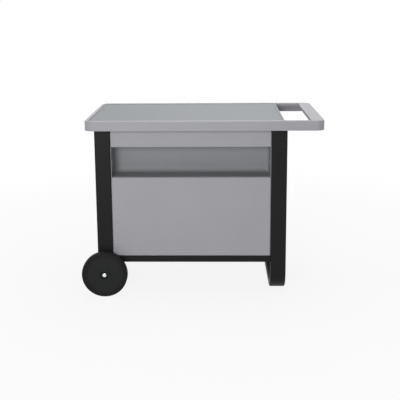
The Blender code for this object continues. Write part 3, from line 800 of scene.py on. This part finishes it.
# Wheels. Each is a black moulded disc with a raised rim and hub, gripped by a solid rubber
# tyre with round shoulders; it spins on the axle, and a bright domed cap closes the axle's end.
TYRE_WIDTH = 0.038
TYRE_THICKNESS = 0.0155
TYRE_SHOULDER = 0.008
TYRE_BEAD = 0.0008
RIM_INSET = 0.002
RIM_THICKNESS = 0.007
RIM_EDGE = 0.0012
RIM_BACK_EDGE = 0.0010
WEB_THICKNESS = 0.006
WEB_DROP = 0.003
WEB_FILLET = 0.0014
WEB_BACK_FILLET = 0.003
HUB_RADIUS = 0.027
HUB_RING = 0.008
HUB_EDGE = 0.0014
HUB_RECESS = 0.010
HUB_RECESS_FILLET = 0.0015
HUB_STANDOFF = 0.012
HUB_BACK_EDGE = 0.001
HUB_MOUTH_EDGE = 0.0005
CAP_DOME = ((0.45, 0.0003, 0.006), (0.85, 0.0022, 0.004), (1.0, 0.005, 0.002))
CAP_CROWN = 0.0016
WHEEL_STEPS = 160
RUBBER = {"colour": (0.0095, 0.01, 0.0105), "roughness": 0.72, "grain": 420.0}
CHROME = {"colour": (0.86, 0.86, 0.88), "roughness": 0.16}

rubber = moulded("solid_tyre_rubber", **RUBBER)
chrome = plated("bright_cap", **CHROME)
axis_at = {joint["child"]: Vector(joint["pos_m"]) for joint in frame["joints"]}
half = TYRE_WIDTH / 2
face = half - RIM_INSET
web = face - WEB_DROP
back = web - WEB_THICKNESS
recess = face - HUB_RECESS
for end, way in wheel_ends:
    body = f"{end}_wheel"
    middle = axis_at[body]
    low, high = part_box(f"{end}_tyre")
    tread = (high.x - low.x) / 2
    rim = tread - TYRE_THICKNESS
    seat = rim + GAP
    profile = [
        (seat, half, TYRE_BEAD),
        (tread, half, TYRE_SHOULDER),
        (tread, -half, TYRE_SHOULDER),
        (seat, -half, TYRE_BEAD),
    ]
    mesh = turned(profile, middle, way, WHEEL_STEPS)
    settle(f"{end}_tyre_ring", mesh, rubber, body, "tyre_rubber", f"{end}_tyre")
    lip = rim - RIM_THICKNESS
    profile = [
        (rim, face, RIM_EDGE),
        (rim, -face, RIM_EDGE),
        (lip, -face, RIM_BACK_EDGE),
        (lip, back, WEB_BACK_FILLET),
        (HUB_RADIUS, back, WEB_BACK_FILLET),
        (HUB_RADIUS, -half - HUB_STANDOFF, HUB_BACK_EDGE),
        (bore, -half - HUB_STANDOFF, HUB_MOUTH_EDGE),
        (bore, recess, HUB_MOUTH_EDGE),
        (HUB_RADIUS - HUB_RING, recess, HUB_RECESS_FILLET),
        (HUB_RADIUS - HUB_RING, face, RIM_EDGE),
        (HUB_RADIUS, face, HUB_EDGE),
        (HUB_RADIUS, web, WEB_FILLET),
        (lip, web, WEB_FILLET),
        (lip, face, RIM_EDGE),
    ]
    mesh = turned(profile, middle, way, WHEEL_STEPS)
    settle(f"{end}_disc", mesh, black_plastic, body, "black_plastic", f"{end}_wheel_disc")
    reach, tall, top = outer_face(f"{end}_axle_cap", way)
    profile = [(0, 0, 0)]
    profile += [(reach * share, -drop, bend) for share, drop, bend in CAP_DOME]
    profile += [
        (reach, -tall, BROKEN_EDGE),
        (bore, -tall, BROKEN_EDGE),
        (bore, -CAP_CROWN, 0),
        (0, -CAP_CROWN, 0),
    ]
    mesh = turned(profile, top, way)
    settle(f"{end}_cap", mesh, chrome, "trolley", "bright_chrome", f"{end}_axle_cap")

# Floor and light. A wide pale floor runs out into a white backdrop and keeps the shadow. Five
# soft lamps light the trolley from overhead, from low in front, from both sides and from
# behind, and the backdrop adds a little even light.
FLOOR = (0.72, 0.72, 0.72, 1.0)
FLOOR_ROUGHNESS = 0.9
FLOOR_REACH = 30.0
FLOOR_FADE = {"From Min": 0.7, "From Max": 2.6, "To Min": 0.88, "To Max": 1.0}
WHITE = (1.0, 1.0, 1.0, 1.0)
BACKDROP_LIGHT = 0.13
BACKDROP_SEEN = 1.0
LAMPS = {
    "overhead": {"place": (0.0, 0.1, 3.2), "target": (0, 0.1, 0), "size": 2.0, "watts": 49},
    "front": {"place": (-0.8, -4.2, 1.45), "target": (0, 0, 0.5), "size": 1.6, "watts": 93},
    "left": {"place": (-4.0, 0.2, 2.3), "target": (0, 0, 0.6), "size": 2.0, "watts": 18},
    "right": {"place": (4.0, 1.4, 1.4), "target": (0, 0, 0.5), "size": 2.0, "watts": 24},
    "back": {"place": (0.4, 3.4, 3.6), "target": (0, 0, 0.5), "size": 2.0, "watts": 30},
}


def seen_rays(graph):
    """One for rays that show the background: the camera's, and those in gloss and glass."""
    rays = graph.tree.nodes.new("ShaderNodeLightPath")
    kinds = ("Is Camera Ray", "Is Glossy Ray", "Is Transmission Ray")
    camera, gloss, glass = (Value(graph, rays.outputs[kind]) for kind in kinds)
    return camera.larger(gloss).larger(glass)


def soft_light(name, place, target, size, watts):
    """A square soft lamp that the camera doesn't see."""
    lamp = bpy.data.lights.new(name, "AREA")
    lamp.shape = "SQUARE"
    lamp.size = size
    lamp.energy = watts
    thing = linked(name, lamp)
    thing.location = place
    thing.visible_camera = False
    aim = Vector(target) - Vector(place)
    thing.rotation_euler = aim.to_track_quat("-Z", "Y").to_euler()


floor_paint = Finish("studio_floor")
floor_paint.surface(FLOOR, FLOOR_ROUGHNESS)
away = floor_paint.node(
    "ShaderNodeVectorMath", {"operation": "LENGTH"}, {0: floor_paint.spot}, "Value"
)
values = {"Value": away, **FLOOR_FADE}
fade = floor_paint.node("ShaderNodeMapRange", {"interpolation_type": "SMOOTHSTEP"}, values)
values = {"Color": WHITE, "Strength": BACKDROP_SEEN}
glow = floor_paint.node("ShaderNodeEmission", {}, values)
lit = Value(floor_paint, floor_paint.shader.outputs["BSDF"])
values = {0: seen_rays(floor_paint) * fade, 1: lit, 2: glow}
mixed = floor_paint.node("ShaderNodeMixShader", {}, values)
floor_paint.feed(mixed, floor_paint.tree.nodes["Material Output"].inputs["Surface"])
corners = [(-1, -1), (1, -1), (1, 1), (-1, 1)]
mesh = bpy.data.meshes.new("floor")
mesh.from_pydata([(x * FLOOR_REACH, y * FLOOR_REACH, 0) for x, y in corners], [], [(0, 1, 2, 3)])
mesh.materials.append(floor_paint.material)
linked("floor", mesh)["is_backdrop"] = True

world = bpy.data.worlds.new("backdrop")
bpy.context.scene.world = world
world.use_nodes = True
sky = Graph(world.node_tree)
soft = sky.node("ShaderNodeBackground", {}, {"Color": WHITE, "Strength": BACKDROP_LIGHT})
white = sky.node("ShaderNodeBackground", {}, {"Color": WHITE, "Strength": BACKDROP_SEEN})
both = sky.node("ShaderNodeMixShader", {}, {0: seen_rays(sky), 1: soft, 2: white})
sky.feed(both, sky.tree.nodes["World Output"].inputs["Surface"])
for name, lamp in LAMPS.items():
    soft_light(name, **lamp)

# Camera. It stands in front of the trolley, a little above the top, and looks slightly down;
# its small shift keeps the trolley at the photograph's place in the frame.
LENS = 66.333
SHIFT = -0.15
CAMERA_AT = (0.0685, -3.3704, 1.3028)
PAN = math.radians(1.278)
TILT = math.radians(90 - 10.78)
ROLL = math.radians(-0.406)

camera = bpy.data.cameras.new("camera")
camera.lens = LENS
camera.shift_y = SHIFT
view = linked("camera", camera)
view.matrix_world = (
    Matrix.Translation(CAMERA_AT)
    @ Matrix.Rotation(PAN, 4, "Z")
    @ Matrix.Rotation(TILT, 4, "X")
    @ Matrix.Rotation(ROLL, 4, "Z")
)
bpy.context.scene.camera = view
bpy.context.scene.view_settings.view_transform = "Standard"

low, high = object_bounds()
